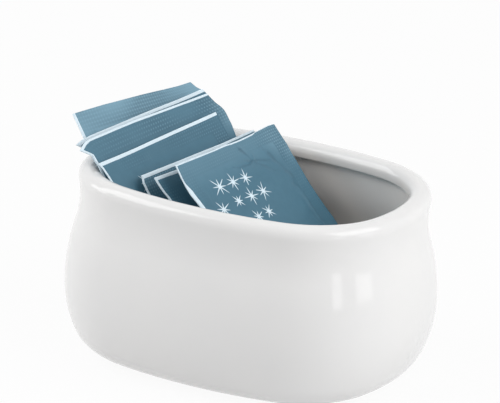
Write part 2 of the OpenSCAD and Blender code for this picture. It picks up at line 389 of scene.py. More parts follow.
@dataclass(frozen=True)
class PrintedPaper:
    """Bleached machine-glazed paper, printed one flat blue by flexography and heat crimped.

    Thin paper shows faint fibre and mottled ink, and the blue stops short of the top and left edges. The
    ink is painted paler on the crests of the crimp, partly as rubbed ink and partly as painted sheen, and
    darker in its grooves and in creases, as painted shade. Real fibres are finer than can show, so theirs
    is a coarser size.
    """

    ink: str = "#4A778C"
    deep_ink: str = "#406D82"
    stock: str = "#E4F5FF"
    # wear_and_sheen_ink is the paler ink, partly rubbed ink and partly painted sheen.
    wear_and_sheen_ink: str = "#90B8CC"
    # painted_shade_ink is painted shade: the ink's colour in the crimp's grooves and the creases' valleys.
    painted_shade_ink: str = "#345C70"
    ior: float = 1.45
    roughness: float = 0.55
    mottle_size: float = 2.2
    waver_size: float = 11.1
    waver: float = 0.5
    top_share: float = 0.4
    fibre_size: float = 0.35
    fibre_depth: float = 0.03
    fibre_share: float = 0.25
    stars: StarField = field(default_factory=StarField)

    def white(self, tree: bpy.types.NodeTree, sheet: bpy.types.NodeSocket) -> bpy.types.NodeSocket:
        """Finds the unprinted paper: the bare bands, whose line wavers, and the stars on the front.

        Args:
            tree: the material's node tree.
            sheet: places across and along the packet, and the side that faces out, 1 for the front.

        Returns:
            1 on bare paper and 0 on ink.
        """
        x, y, front = add_node(tree, "SeparateXYZ", sheet).outputs
        edges = add_node(tree, "Attribute", attribute_name="edges").outputs["Vector"]
        past_left, past_top, _ = add_node(tree, "SeparateXYZ", edges).outputs
        cloud = add_node(tree, "TexNoise", Vector=sheet, Scale=1 / self.waver_size, Detail=1.0)
        waver = add_node(tree, "Math", cloud, self.waver, -self.waver / 2, operation="MULTIPLY_ADD")
        top_waver = add_node(tree, "Math", waver, self.top_share, operation="MULTIPLY")
        left = add_node(tree, "Math", past_left, waver, operation="LESS_THAN")
        top = add_node(tree, "Math", past_top, top_waver, operation="LESS_THAN")
        margin = add_node(tree, "Math", left, top, operation="MAXIMUM")
        in_front = add_node(tree, "Math", front, 0.0, operation="GREATER_THAN")
        stars = self.stars.mask(tree, x, y)
        shown = add_node(tree, "Math", stars, in_front, operation="MULTIPLY")
        return add_node(tree, "Math", margin, shown, operation="MAXIMUM").outputs[0]

    def make(self, name: str, even_wear_and_sheen: float) -> bpy.types.Material:
        """Builds the node material of one packet.

        Each tone covers the ones before it by its own share.

        Args:
            name: the material's name.
            even_wear_and_sheen: how much paler the ink is painted all over, partly as rubbed ink and partly
                as painted sheen, from 0 to 1.

        Returns:
            The material.
        """
        material, tree, shader = new_material(name)
        sheet = add_node(tree, "Attribute", attribute_name="sheet").outputs["Vector"]
        # wear_and_sheen paints the ink paler, partly as wear and partly as painted sheen.
        wear_and_sheen = add_node(tree, "Attribute", attribute_name="wear_and_sheen").outputs["Fac"]
        # hollow darkens the ink in the crimp's grooves and the creases' valleys, as painted shade.
        hollow = add_node(tree, "Attribute", attribute_name="hollow").outputs["Fac"]
        mottle = add_node(tree, "TexNoise", Vector=sheet, Scale=1 / self.mottle_size, Detail=4.0)
        wear_and_sheen_share = add_node(tree, "MapRange", Value=wear_and_sheen, To_Min=even_wear_and_sheen, To_Max=1.0)
        white = self.white(tree, sheet)
        layers = (mottle, self.deep_ink), (wear_and_sheen_share, self.wear_and_sheen_ink), (hollow, self.painted_shade_ink), (white, self.stock)
        colour = linear(self.ink)
        for share, tone in layers:
            colour = add_node(tree, "Mix", data_type="RGBA", Factor=share,
                              in6=colour, in7=linear(tone)).outputs[2]
        fibre = add_node(tree, "TexNoise", Vector=sheet, Scale=1 / self.fibre_size, Detail=3.0,
                         Distortion=0.6)
        bump = add_node(tree, "Bump", Height=fibre, Strength=self.fibre_share,
                        Distance=self.fibre_depth * MM)
        fill(shader, {"Base Color": colour, "Normal": bump, "Roughness": self.roughness, "IOR": self.ior})
        return material


@dataclass(frozen=True)
class GranulatedSugar:
    """Dry white sugar, sieved to grains of about half a millimetre, which sparkle a little."""

    grain: str = "#F7F5EF"
    # hollow is the grains' colour in the gaps between them, a painted shade.
    hollow: str = "#DEDACF"
    ior: float = 1.54
    roughness: float = 0.3
    grain_size: float = 0.5
    grain_depth: float = 0.2

    def make(self) -> bpy.types.Material:
        """Builds the node material: a heap of grains, with painted shade in the gaps between them.

        Returns:
            The material.
        """
        material, tree, shader = new_material("granulated_sugar")
        place = add_node(tree, "TexCoord").outputs["Object"]
        cells = add_node(tree, "TexVoronoi", Vector=place, Scale=1 / (self.grain_size * MM))
        # Painted shade: the gaps between grains are darker.
        colour = add_node(tree, "Mix", data_type="RGBA", Factor=cells.outputs["Distance"],
                          in6=linear(self.grain), in7=linear(self.hollow)).outputs[2]
        bump = add_node(tree, "Bump", invert=True, Height=cells.outputs["Distance"], Strength=1.0,
                        Distance=self.grain_depth * MM)
        fill(shader, {"Base Color": colour, "Normal": bump, "Roughness": self.roughness, "IOR": self.ior})
        return material


def arc(centre: tuple[float, float], radius: float, start: float, stop: float, cells: int) -> np.ndarray:
    """Points of an arc after its first one.

    Args:
        centre: the arc's centre.
        radius: its radius.
        start: angle at its first end, in degrees.
        stop: angle at its last end.
        cells: number of stretches.

    Returns:
        The points centre + radius (cos a, sin a) at even steps of a.
    """
    a = np.radians(start + (stop - start) * np.arange(1, cells + 1) / cells)
    return np.array(centre) + radius * np.stack([np.cos(a), np.sin(a)], axis=1)


def rounded(corners: list[tuple[float, float]], radius: float, cells: int = 5) -> np.ndarray:
    """Runs through corners, each inner one eased by a curve.

    Args:
        corners: the corners in order.
        radius: how far from a corner its curve starts.
        cells: number of stretches in a curve.

    Returns:
        The first corner, for each inner corner p the curve p + radius ((1-t)^2 u + t^2 v), with u and v
        the directions back and on, and the last corner.
    """
    path = np.array(corners, float)
    t = np.linspace(0, 1, cells + 1)[:, None]
    step = np.diff(path, axis=0)
    step /= np.linalg.norm(step, axis=1, keepdims=True)
    eased = [path[k] - radius * (1 - t) ** 2 * step[k - 1] + radius * t ** 2 * step[k]
             for k in range(1, len(path) - 1)]
    return np.concatenate([path[:1], *eased, path[-1:]])


@dataclass
class Holder:
    """The porcelain body: one section of tangent arcs, carried round an oval plan of eight arcs.

    A name ending in _h is a height over the table, and a pair of heights is where a change starts and
    where it is whole. A name ending in _r is an arc's radius.
    """

    rim_l: float = 96.0
    rim_w: float = 74.0
    end_r: float = 55.5
    side_r: float = 120.5
    corner_r: float = 29.0
    rim_t: float = 6.2
    lip_h: float = 4.2
    holder_h: float = 54.0
    wall: float = 3.8
    neck_h: float = 45.5
    neck_in: float = 0.5
    belly_h: float = 22.0
    belly_out: float = 3.0
    belly_low_r: float = 34.0
    base_r: float = 12.0
    foot_h: float = 1.0
    foot_w: float = 3.0
    foot_in: float = 13.5
    glaze_ease: float = 0.45
    waver: float = 0.07
    waver_rise: tuple[float, float] = (15.0, 9.0)
    waver_start: tuple[float, float] = (0.7, 2.1)
    true_h: tuple[float, float] = (2.0, 12.0)
    sag: float = 0.42
    sag_h: tuple[float, float] = (40.0, 50.0)
    sag_turn: float = -20.0
    slump: float = 0.6
    slump_low_h: tuple[float, float] = (41.0, 47.0)
    slump_high_h: tuple[float, float] = (48.0, 53.0)
    lined_rows: tuple[int, int] = (8, 16)
    finish: GlazedPorcelain = field(default_factory=GlazedPorcelain)

    def section(self) -> np.ndarray:
        """Works out the section, from the underside over the rim to the floor.

        The rim is half a circle, the neck one hollow arc, the belly two arcs and the base one, each
        tangent to the next. The inside follows the same centres, one wall further in.

        Returns:
            Offsets from the rim's plan, outwards, and heights.
        """
        bead_r = self.rim_t / 2
        bead = np.array([-bead_r, self.holder_h - bead_r])
        drop, run = bead[1] - self.neck_h, bead_r - self.neck_in
        neck_r = (run ** 2 + drop ** 2 - bead_r ** 2) / (2 * self.neck_in)
        neck = np.array([neck_r - self.neck_in, self.neck_h])
        swell, rise = self.neck_in + self.belly_out, self.neck_h - self.belly_h
        up_r = (rise ** 2 + swell ** 2) / (2 * swell) - neck_r
        up = np.array([self.belly_out - up_r, self.belly_h])
        low = np.array([self.belly_out - self.belly_low_r, self.belly_h])
        base_y = self.foot_h + self.base_r
        base_run = np.sqrt((self.belly_low_r - self.base_r) ** 2 - (self.belly_h - base_y) ** 2)
        base = np.array([low[0] + base_run, base_y])
        neck_angle = np.degrees(np.arctan2(*(neck - up)[::-1]))
        base_angle = np.degrees(np.arctan2(self.belly_h - base_y, base_run))
        rim_angle = np.degrees(np.arctan2(bead[1] - neck[1], neck[0] - bead[0]))
        ledge = self.holder_h - self.lip_h
        ledge_angle = np.degrees(np.arcsin((ledge - self.neck_h) / (neck_r + self.wall)))
        foot_end = self.foot_in + self.foot_w
        under = rounded([
            (-foot_end - 2 * self.foot_w, self.foot_h), (-foot_end, self.foot_h), (-foot_end, 0),
            (-self.foot_in, 0), (-self.foot_in, self.foot_h), (base[0], self.foot_h),
        ], self.glaze_ease)
        inner_top = neck + (neck_r + self.wall) * np.array(
            [-np.cos(np.radians(ledge_angle)), np.sin(np.radians(ledge_angle))])
        lip = rounded([(-self.rim_t, ledge + 2 * self.glaze_ease), (-self.rim_t, ledge), tuple(inner_top),
                       tuple(inner_top - (0, 2 * self.glaze_ease))], self.glaze_ease)
        inner_neck = arc(neck, neck_r + self.wall, 180 - ledge_angle, 180 + neck_angle, cells=24)
        return np.concatenate([
            under,
            arc(base, self.base_r, -90, -base_angle, cells=18),
            arc(low, self.belly_low_r, -base_angle, 0, cells=14),
            arc(up, up_r, 0, neck_angle, cells=18),
            arc(neck, neck_r, 180 + neck_angle, 180 - rim_angle, cells=20),
            arc(bead, bead_r, -rim_angle, 180, cells=34),
            lip,
            inner_neck[inner_neck[:, 1] < inner_top[1] - 2.5 * self.glaze_ease],
            arc(up, up_r - self.wall, neck_angle, 0, cells=16),
            arc(low, self.belly_low_r - self.wall, 0, -base_angle, cells=12),
            arc(base, self.base_r - self.wall, -base_angle, -90, cells=14),
        ])

    def plan(self, cells: tuple[int, int, int]) -> tuple[np.ndarray, np.ndarray, np.ndarray]:
        """Works out the plan's stations.

        A corner arc touches its end arc and its side arc, so its centre is where two circles round
        their centres, of the difference of the radii, cross.

        Args:
            cells: stretches in half an end arc, a corner arc and half a side arc.

        Returns:
            Each station's arc centre, its arc radius and its outward direction.
        """
        end = np.array([self.rim_l / 2 - self.end_r, 0])
        side = np.array([0, self.rim_w / 2 - self.side_r])
        span = np.linalg.norm(side - end)
        end_reach, side_reach = self.end_r - self.corner_r, self.side_r - self.corner_r
        along = (end_reach ** 2 - side_reach ** 2 + span ** 2) / (2 * span)
        away = (side - end) / span
        corner = end + along * away + np.sqrt(end_reach ** 2 - along ** 2) * np.array([-away[1], away[0]])
        end_turn, side_turn = (np.arctan2(*(corner - c)[::-1]) for c in (end, side))
        turns = [0, end_turn, side_turn, np.pi / 2]
        quarter = np.concatenate([np.linspace(a, b, n, endpoint=False) for a, b, n in
                                  zip(turns[:-1], turns[1:], cells)] + [[np.pi / 2]])
        half = np.concatenate([quarter, np.pi - quarter[-2::-1]])
        angle = np.concatenate([half, np.pi + half[1:-1]])
        direction = np.stack([np.cos(angle), np.sin(angle)], axis=1)
        folded = np.arctan2(np.abs(direction[:, 1]), np.abs(direction[:, 0]))
        kind = (folded >= end_turn).astype(int) + (folded >= side_turn)
        centre = np.sign(direction) * np.stack([end, corner, side])[kind]
        return centre, np.array([self.end_r, self.corner_r, self.side_r])[kind], direction

    def mesh(self) -> bpy.types.Object:
        """Carries the section round the plan and closes the underside and the floor.

        A point is centre + (radius + offset) direction. Casting leaves the wall out of true by two sets of
        slow waves, three and five to a turn, each up to waver high and one radian on in waver_rise of
        height, but not at the foot. In the kiln the rim sank by sag on one side, and the bead's underside
        there by slump more, both as the squared cosine of the angle from that side. The attribute inside
        rises from 0 to 1 between two of the rows past the top, and tells the finish where the inside gets
        its painted shade tint.

        Returns:
            The holder's object.
        """
        cells = ((12, 44, 22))
        centre, radius, direction = self.plan(cells)
        section = self.section()
        offset, height = section[:, 0, None], section[:, 1, None]
        turn = np.arctan2(direction[:, 1], direction[:, 0])[None, :]
        three, five = (np.sin(waves * turn + start) for waves, start in zip((3, 5), self.waver_start))
        sway = three * np.sin(height / self.waver_rise[0]) + five * np.cos(height / self.waver_rise[1])
        reach = radius[None, :] + offset + self.waver * sway * smooth_step(height, *self.true_h)
        flat = centre[None] + reach[..., None] * direction[None]
        rows, cols = reach.shape
        past_top = np.arange(rows) - np.argmax(section[:, 1])
        outside = past_top[:, None] < 0
        under_bead = smooth_step(height, *self.slump_low_h) * (1 - smooth_step(height, *self.slump_high_h))
        sunk = self.sag * smooth_step(height, *self.sag_h) + self.slump * under_bead * outside
        level = height - sunk * np.maximum(np.cos(turn - np.radians(self.sag_turn)), 0) ** 2
        points = np.concatenate([flat, level[..., None]], axis=-1)
        poles = np.array([[0, 0, self.foot_h], [0, 0, section[-1, 1]]])
        ring = np.arange(cols)
        after = (ring + 1) % cols
        last = (rows - 1) * cols
        fans = np.concatenate([
            np.stack([after, ring, np.full(cols, rows * cols)], axis=1),
            np.stack([last + ring, last + after, np.full(cols, rows * cols + 1)], axis=1),
        ])
        made = put_mesh("holder_body", np.concatenate([points.reshape(-1, 3), poles]),
                        grid_quads(rows, cols, wrap=True), fans)
        lined = np.append(np.repeat(smooth_step(past_top, *self.lined_rows), cols), [0, 1])
        store(made, "inside", "FLOAT", "value", lined)
        return made

    def build(self) -> bpy.types.Object:
        """Makes and dresses the porcelain body in place of its solid.

        Returns:
            The body's object.
        """
        body = self.mesh()
        body.data.materials.append(self.finish.make())
        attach(body, "holder")
        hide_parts("holder")
        return body


@dataclass(frozen=True)
class Crease:
    """A fold in a packet's front that stands up on the left of its run, from one place to another, with
    painted shade along its foot.
    """

    start: tuple[float, float]
    end: tuple[float, float]
    lift: float = 0.6
    gentle: float = 2.4
    steep: float = 0.35
    # ink is how strong the painted shade along the fold's foot is, and valley how far it reaches.
    ink: float = 0.6
    valley: float = 0.36
    wander: float = 0.3
    wander_waves: tuple[float, float] = (2.5, 7.0)
    wander_seeds: tuple[int, int] = (71, 72)

    def profile(self, x: np.ndarray, y: np.ndarray) -> tuple[np.ndarray, np.ndarray]:
        """Works out the fold: both results fall off as exp(-(d / w)^2) with the distance d from its line.

        The line wanders a little, as paper creases do, and the fold fades by half along its run.

        Args:
            x: places across.
            y: places along.

        Returns:
            The height, where w is each side's own reach, and the painted shade at its foot, from 0 to 1.
        """
        a, b = np.array(self.start), np.array(self.end)
        run = b - a
        aside, ahead = (self.wander * ripples(x, y, *self.wander_waves, seed) for seed in self.wander_seeds)
        x, y = x + aside, y + ahead
        share = np.clip(((x - a[0]) * run[0] + (y - a[1]) * run[1]) / (run @ run), 0, 1)
        gap = np.hypot(x - a[0] - share * run[0], y - a[1] - share * run[1])
        left = run[0] * (y - a[1]) - run[1] * (x - a[0]) > 0
        fade = 1 - 0.5 * share
        height = self.lift * np.exp(-(gap / np.where(left, self.gentle, self.steep)) ** 2) * fade
        # The second result is painted shade along the fold's foot.
        return height, self.ink * np.exp(-(gap / self.valley) ** 2) * fade


@dataclass(frozen=True)
class Crinkle:
    """Uneven waves in the paper, by their height and their shortest and longest length."""

    height: float
    shortest: float
    longest: float
    seed: int = 0

    def at(self, x: np.ndarray, y: np.ndarray, seed: int = 0) -> np.ndarray:
        """Heights at places across and along, where a seed is added to the waves' own."""
        return self.height * ripples(x, y, self.shortest, self.longest, self.seed + seed)


@dataclass
class Packet:
    """One sugar packet: two plies of paper crimped together round a pillow of sugar.

    It stands place_share packets on from the first, side_share of its width aside, and with its foot
    depth_share of the way down the slope to the floor. It is turned by fan_turn about its length and by
    face_turn in its own plane, in degrees.

    Places on the sheet go across from its middle and along from its top edge, which is 0, down to minus
    its length. A band or an edge is a list of points, each with how far along its side it lies, from the
    middle for the top and from the top for the sides, and with the band's width or the edge's move
    outwards there. A highlight patch is a place across and along, a reach and a share of painted
    highlight. A real heat seal has a finer waffle than can show, so its pitch here is a little coarser.
    """

    number: int
    place_share: float
    depth_share: float
    side_share: float
    fan_turn: float
    face_turn: float
    top_band: tuple[tuple[float, float], ...] = ((0, 1.0),)
    left_band: float = 0.35
    fold: float = 0.0
    # even_wear_and_sheen and top_wear_and_sheen paint the ink paler all over and towards the top end, partly
    # as wear and partly as painted sheen.
    even_wear_and_sheen: float = 0.0
    top_wear_and_sheen: float = 0.0
    pressed: tuple[float, float] = (-30.0, -29.0)
    # Each highlight patch is a painted highlight: a paler spot in the ink.
    highlight_patches: tuple[tuple[float, float, float, float], ...] = ()
    top_edge: tuple[tuple[float, float], ...] = ((0, 0),)
    left_edge: tuple[tuple[float, float], ...] = ((0, 0),)
    right_edge: tuple[tuple[float, float], ...] = ((0, 0),)
    slack: float = 0.0
    creases: tuple[Crease, ...] = ()
    width: float = 44.5
    length: float = 63.5
    thickness: float = 2.4
    ply: float = 0.12
    seal: float = 5.0
    crimp_pitch: float = 0.87
    crimp_depth: float = 0.16
    crimp_start: float = 30.0
    crimp_level: float = 0.3
    seam_ease: tuple[float, float] = (0.6, 0.3)
    fullness: float = 0.75
    settling: float = 1.35
    sugar_gap: float = 0.1
    sugar_margin: float = 0.6
    still_share: float = 0.2
    fold_share: float = 0.6
    cockles: Crinkle = Crinkle(0.1, 9, 22, 41)
    cockle_reach: float = 9.0
    cockled_from: float = 0.5
    lumps: Crinkle = Crinkle(0.12, 5, 14)
    puckers: Crinkle = Crinkle(0.16, 2.5, 6, 300)
    pucker_reach: float = 4.0
    press: Crinkle = Crinkle(1.0, 12, 30, 600)
    press_share: float = 0.55
    unpressed_share: float = 0.3
    side_fade: float = 0.75
    side_fade_from: tuple[float, float] = (6.0, 15.0)
    # Where the top end starts to be painted paler, and how the crests are painted paler, partly as wear and
    # partly as painted sheen.
    top_wear_and_sheen_from: tuple[float, float] = (-12.0, -1.0)
    crest_wear_and_sheen: float = 0.7
    crest_wear_and_sheen_from: float = 0.3
    # Painted shade in the crimp's grooves: its share, and how fast it falls off towards the crests.
    groove_shade_share: float = 0.6
    groove_shade_fall: float = 1.8

    @property
    def name(self) -> str:
        """The packet's body name."""
        return f"packet_{self.number}"

    def spread(self, cells: int) -> tuple[np.ndarray, np.ndarray]:
        """Lays an even grid over the sheet, with a few lines to each crimp.

        Args:
            cells: grid cells to one pitch of the crimp.

        Returns:
            Places across, from left to right, and along, from the top down.
        """
        cols = cells * round(self.width / self.crimp_pitch)
        rows = cells * round(self.length / self.crimp_pitch)
        across = self.width * np.linspace(-0.5, 0.5, cols + 1)
        down = -self.length * np.linspace(0, 1, rows + 1)
        return np.meshgrid(across, down)

    def pillow(self, x: np.ndarray, y: np.ndarray, margin: float = 0.0) -> np.ndarray:
        """Height of the filled pocket: (1 - u^2)^fullness sin(pi v^settling)^fullness.

        u runs from -1 to 1 across the pocket and v from 0 at its top to 1 at its foot, near which the
        sugar has settled.

        Args:
            x: places across.
            y: places along.
            margin: how far the seams are drawn in.

        Returns:
            Heights from 0 at the seams to 1.
        """
        u = np.clip(x / (self.width / 2 - self.seal - margin), -1, 1)
        v = np.clip((-y - self.seal - margin) / (self.length - 2 * self.seal - 2 * margin), 0, 1)
        return (1 - u * u) ** self.fullness * np.sin(np.pi * v ** self.settling) ** self.fullness

    def crimp(self, x: np.ndarray, y: np.ndarray) -> tuple[np.ndarray, np.ndarray]:
        """Works out the waffle of the heat seal.

        Args:
            x: places across.
            y: places along.

        Returns:
            The waffle's crests, a knob of sin^2 by sin^2 to each pitch, and where the seal is, from 0 to 1.
        """
        inward = np.minimum.reduce([x + self.width / 2, self.width / 2 - x, -y, y + self.length])
        sealed = 1 - smooth_step(inward, self.seal - self.seam_ease[0], self.seal + self.seam_ease[1])
        across = np.pi * (x / self.width + 0.5) * round(self.width / self.crimp_pitch)
        along = np.pi * y / self.length * round(self.length / self.crimp_pitch)
        start = np.radians(self.crimp_start)
        knobs = (np.sin(across + start) * np.sin(along + start)) ** 2
        return knobs * sealed, sealed

    def pressure(self, x: np.ndarray, y: np.ndarray, seed: int) -> np.ndarray:
        """Works out how firmly the seal was pressed: unevenly, and more from one place across to another.

        Args:
            x: places across.
            y: places along.
            seed: seed of the ply's waves.

        Returns:
            Shares of the full depth, which fall along the sides as they leave the ends.
        """
        uneven = self.press_share + (1 - self.press_share) * np.clip(self.press.at(x, y, seed), -1, 1)
        reached = self.unpressed_share + (1 - self.unpressed_share) * smooth_step(x, *self.pressed)
        from_end = np.minimum(-y, y + self.length)
        return uneven * reached * (1 - self.side_fade * smooth_step(from_end, *self.side_fade_from))

    def outline(self, x: np.ndarray, y: np.ndarray) -> tuple[np.ndarray, np.ndarray]:
        """Moves the edges of the sheet in its own plane, where handling has spread or bent them.

        Args:
            x: places across.
            y: places along.

        Returns:
            The new places across and along: each edge moves out as its points say, and the middle stays.
        """
        right, left = (np.interp(-y, *np.array(edge, float).T) for edge in (self.right_edge, self.left_edge))
        top = np.interp(x, *np.array(self.top_edge, float).T) * smooth_step(y, -self.seal, 0)
        half = self.width / 2
        moved = right * smooth_step(x, self.still_share * half, half)
        moved = moved - left * smooth_step(-x, self.still_share * half, half)
        return x + moved, y + top

    def margins(self, x: np.ndarray, y: np.ndarray) -> tuple[np.ndarray, np.ndarray]:
        """Works out how far the print lies inside the bare bands along the left and the top edges.

        The left band grows by the fold just under the seal, where the paper was wrapped round askew.

        Args:
            x: places across.
            y: places along.

        Returns:
            How far a place is past the left band and past the top band.
        """
        grown = self.left_band + self.fold * np.clip((-y - self.seal) / (self.fold_share * self.seal), 0, 1)
        return x + self.width / 2 - grown, -y - np.interp(x, *np.array(self.top_band, float).T)

    def bend(self, x: np.ndarray, y: np.ndarray) -> np.ndarray:
        """How far both plies leave the flat: cockled seals, alike on all the packets, so that they nest."""
        edge = np.maximum(np.abs(x) / (self.width / 2), 1 + y / self.cockle_reach)
        return self.cockles.at(x, y) * smooth_step(edge, self.cockled_from, 1.0)

    def folds(self, x: np.ndarray, y: np.ndarray, side: Side) -> tuple[np.ndarray, np.ndarray]:
        """Puts the creases of one ply together.

        Args:
            x: places across.
            y: places along.
            side: which ply.

        Returns:
            The height of the highest fold and the strongest painted shade of a valley at each place.
        """
        folded, valley = np.zeros_like(x), np.zeros_like(x)
        for crease in self.creases if side is Side.FRONT else ():
            height, foot = crease.profile(x, y)
            folded = np.maximum(folded, height)
            valley = np.maximum(valley, foot)
        return folded, valley

    def skin(self, x: np.ndarray, y: np.ndarray, side: Side) -> tuple[np.ndarray, np.ndarray, np.ndarray]:
        """Works out one ply, which never dips under the sugar.

        The ink is painted paler on the crests of the waffle and towards the top end, partly as rubbed ink
        and partly as painted sheen, and at its highlight patches, painted highlights each of which falls off
        as exp(-(d / reach)^2) with the distance d from its place. The crimp's grooves and the creases'
        valleys get painted shade.

        Args:
            x: places across.
            y: places along.
            side: which ply.

        Returns:
            Heights over the packet's middle plane, how much paler the ink is painted, as wear and as painted
            sheen, and how much painted shade darkens it, both from 0 to 1.
        """
        seed = 10 * self.number + side.value
        full = self.pillow(x, y)
        bulge = self.thickness / 2 - self.ply
        inward = np.minimum(self.width / 2 - np.abs(x), np.minimum(-y, y + self.length)) - self.seal
        pucker = self.puckers.at(x, y, seed) * np.exp(-np.maximum(inward, 0) / self.pucker_reach)
        slack = self.slack if side is Side.FRONT else 0.0
        loose = (self.lumps.at(x, y, seed) + pucker + slack) * np.sqrt(full)
        folded, valley = self.folds(x, y, side)
        sugar = self.ply / 4 + (bulge - self.sugar_gap) * self.pillow(x, y, self.sugar_margin)
        height = np.maximum(self.ply + bulge * full + loose + folded, sugar + self.ply / 2)
        crest, sealed = self.crimp(x, y)
        strength = self.pressure(x, y, seed)
        waffle = self.crimp_depth * (crest - self.crimp_level * sealed)
        # The crests and the top end are painted paler, partly as rubbed ink and partly as painted sheen.
        wear_and_sheen = self.crest_wear_and_sheen * strength * np.maximum(crest - self.crest_wear_and_sheen_from, 0)
        wear_and_sheen = wear_and_sheen + self.top_wear_and_sheen * smooth_step(y, *self.top_wear_and_sheen_from)
        # Each highlight patch paints a paler spot, a painted highlight.
        for across, along, reach, share in self.highlight_patches:
            wear_and_sheen = wear_and_sheen + share * np.exp(-((x - across) ** 2 + (y - along) ** 2) / reach ** 2)
        # Painted shade in the grooves of the crimp, where it was pressed, and in the creases' valleys.
        groove_shade = self.groove_shade_share * strength * np.maximum(sealed - self.groove_shade_fall * crest, 0)
        return side.value * height + waffle * strength, np.clip(wear_and_sheen, 0, 1), np.clip(groove_shade + valley, 0, 1)

    def pose(self, row: "Row") -> np.ndarray:
        """Works out where the row holds the packet.

        Args:
            row: the row that the packet stands in.

        Returns:
            Its place as a 4 by 4 matrix in millimetres, for a sheet with its top edge's middle at 0.
        """
        steps = (
            Matrix.Translation((0, 0, row.holder.holder_h)),
            Matrix.Rotation(np.radians(90 - row.turn), 4, "Z"),
            Matrix.Rotation(np.radians(90 - row.lean), 4, "X"),
            Matrix.Translation((
                self.side_share * self.width,
                self.length - self.depth_share * row.slope,
                row.first + self.place_share * (self.thickness + row.gap),
            )),
            Matrix.Rotation(np.radians(-self.fan_turn), 4, "Y"),
            Matrix.Rotation(np.radians(self.face_turn), 4, "Z"),
        )
        return np.linalg.multi_dot([np.array(step) for step in steps])

    def mesh(self, row: "Row") -> bpy.types.Object:
        """Makes the closed pouch: a front and a back grid joined by a band round their edge.

        Args:
            row: the row that the packet stands in.

        Returns:
            The pouch's object, with its sheet and edges attributes, its wear_and_sheen attribute of ink
            painted paler, as wear and as sheen, and its hollow attribute.
        """
        x, y = self.spread(3)
        rows, cols = x.shape
        bend = self.bend(x, y)
        skins = {side: self.skin(x, y, side) for side in Side}
        across, along = self.outline(x, y)
        flat = [np.stack([across, along, skins[side][0] + bend], axis=-1).reshape(-1, 3) for side in Side]
        matrix = self.pose(row)
        points = np.concatenate(flat) @ matrix[:3, :3].T + matrix[:3, 3]
        count = rows * cols
        quads = grid_quads(rows, cols)
        number = np.arange(count).reshape(rows, cols)
        rim = np.concatenate([number[0, :-1], number[:-1, -1], number[-1, :0:-1], number[:0:-1, 0]])
        after = np.roll(rim, -1)
        band = np.stack([rim, after, after + count, rim + count], axis=1)
        faces = np.concatenate([quads[:, ::-1], quads + count, band])
        made = put_mesh(self.name + "_pouch", points, faces, np.zeros((0, 3), int))
        sides = np.repeat([side.value for side in Side], count)
        grid = np.stack([np.tile(x.ravel(), 2), np.tile(y.ravel(), 2), sides], axis=1)
        edges = np.stack([*self.margins(x, y), np.zeros_like(x)], axis=-1).reshape(-1, 3)
        store(made, "sheet", "FLOAT_VECTOR", "vector", grid)
        store(made, "edges", "FLOAT_VECTOR", "vector", np.tile(edges, (2, 1)))
        # Stores the ink painted paler, as wear and as sheen, and the painted shade of grooves and creases.
        for place, name in enumerate(("wear_and_sheen", "hollow"), 1):
            shares = np.concatenate([skins[side][place].ravel() for side in Side])
            store(made, name, "FLOAT", "value", shares)
        return made

    def build(self, row: "Row", paper: PrintedPaper, sugar: bpy.types.Material) -> bpy.types.Object:
        """Makes and dresses the packet in place of its plain wrapper, and dresses the sugar in it.

        Args:
            row: the row that the packet stands in.
            paper: the wrapper's finish.
            sugar: the sugar's material.

        Returns:
            The pouch's object.
        """
        pouch = self.mesh(row)
        pouch.data.materials.append(paper.make(f"printed_paper_{self.number}", self.even_wear_and_sheen))
        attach(pouch, self.name)
        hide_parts(self.name + "_wrapper")
        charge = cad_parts[self.name + "_sugar"]
        charge.data.materials.clear()
        charge.data.materials.append(sugar)
        return pouch


